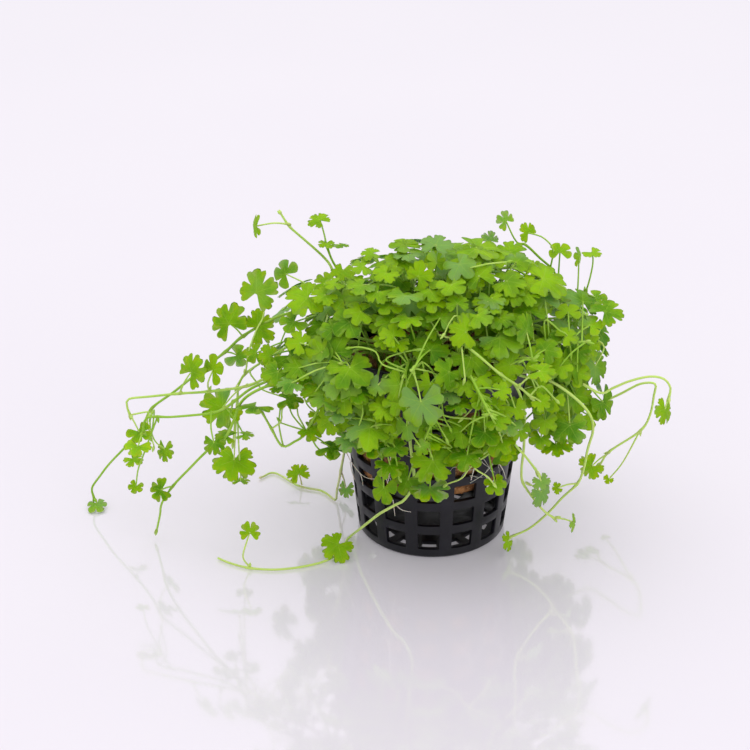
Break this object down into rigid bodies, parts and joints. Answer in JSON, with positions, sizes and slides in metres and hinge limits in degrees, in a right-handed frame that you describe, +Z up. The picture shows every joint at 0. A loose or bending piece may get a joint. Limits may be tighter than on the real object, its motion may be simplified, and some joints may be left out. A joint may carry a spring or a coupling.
{
  "type": "potted pennywort",
  "caption": "Pennywort growing from brown rockwool in a small black net pot, with lobed leaves on thin trailing runners.",
  "frame": {"origin": "centre of the net pot's base, on the surface that it stands on", "axes": "+Z up along the pot's axis, +X to the right in the picture, +Y away from the viewer"},
  "size_m": [0.1602, 0.1101, 0.0916],
  "materials": {
    "pot_black": "moulded black plastic, satin",
    "rockwool": "brown mineral wool, fibrous",
    "foliage": "fresh green leaves and stems, soft sheen",
    "root": "cream-white fine roots"
  },
  "bodies": {
    "root": {"net_pot": "pot_black", "rockwool_plug": "rockwool", "root_front_left": "root", "root_front_right": "root", "root_side": "root", "runner_back_left": "foliage", "runner_back_right": "foliage", "runner_front_long": "foliage", "runner_front_right": "foliage", "runner_left_bent": "foliage", "runner_left_bright": "foliage", "runner_left_long": "foliage", "runner_left_lower": "foliage", "runner_left_middle": "foliage", "runner_left_tip": "foliage", "runner_right_arch": "foliage", "runner_right_far": "foliage", "runner_right_far_branch": "foliage", "runner_right_front": "foliage", "runner_right_inner": "foliage", "runner_right_middle": "foliage", "runner_table_front": "foliage", "runner_table_left": "foliage", "runner_top_left": "foliage", "runner_top_right": "foliage", "shoot_right_top": "foliage", "shoot_top_left": "foliage", "tuft_back_01": "foliage", "tuft_back_02": "foliage", "tuft_back_03": "foliage", "tuft_back_04": "foliage", "tuft_back_05": "foliage", "tuft_back_06": "foliage", "tuft_back_07": "foliage", "tuft_back_08": "foliage", "tuft_centre": "foliage", "tuft_centre_left": "foliage", "tuft_centre_low": "foliage", "tuft_centre_right": "foliage", "tuft_front": "foliage", "tuft_front_left": "foliage", "tuft_front_right": "foliage", "tuft_left_front": "foliage", "tuft_left_low": "foliage", "tuft_right_hanging": "foliage", "tuft_right_inner": "foliage", "tuft_right_low": "foliage", "tuft_right_outer": "foliage", "tuft_top": "foliage", "tuft_top_left": "foliage", "tuft_top_middle": "foliage", "tuft_top_right": "foliage", "tuft_upper_left": "foliage", "tuft_upper_right": "foliage"}
  },
  "joints": []
}
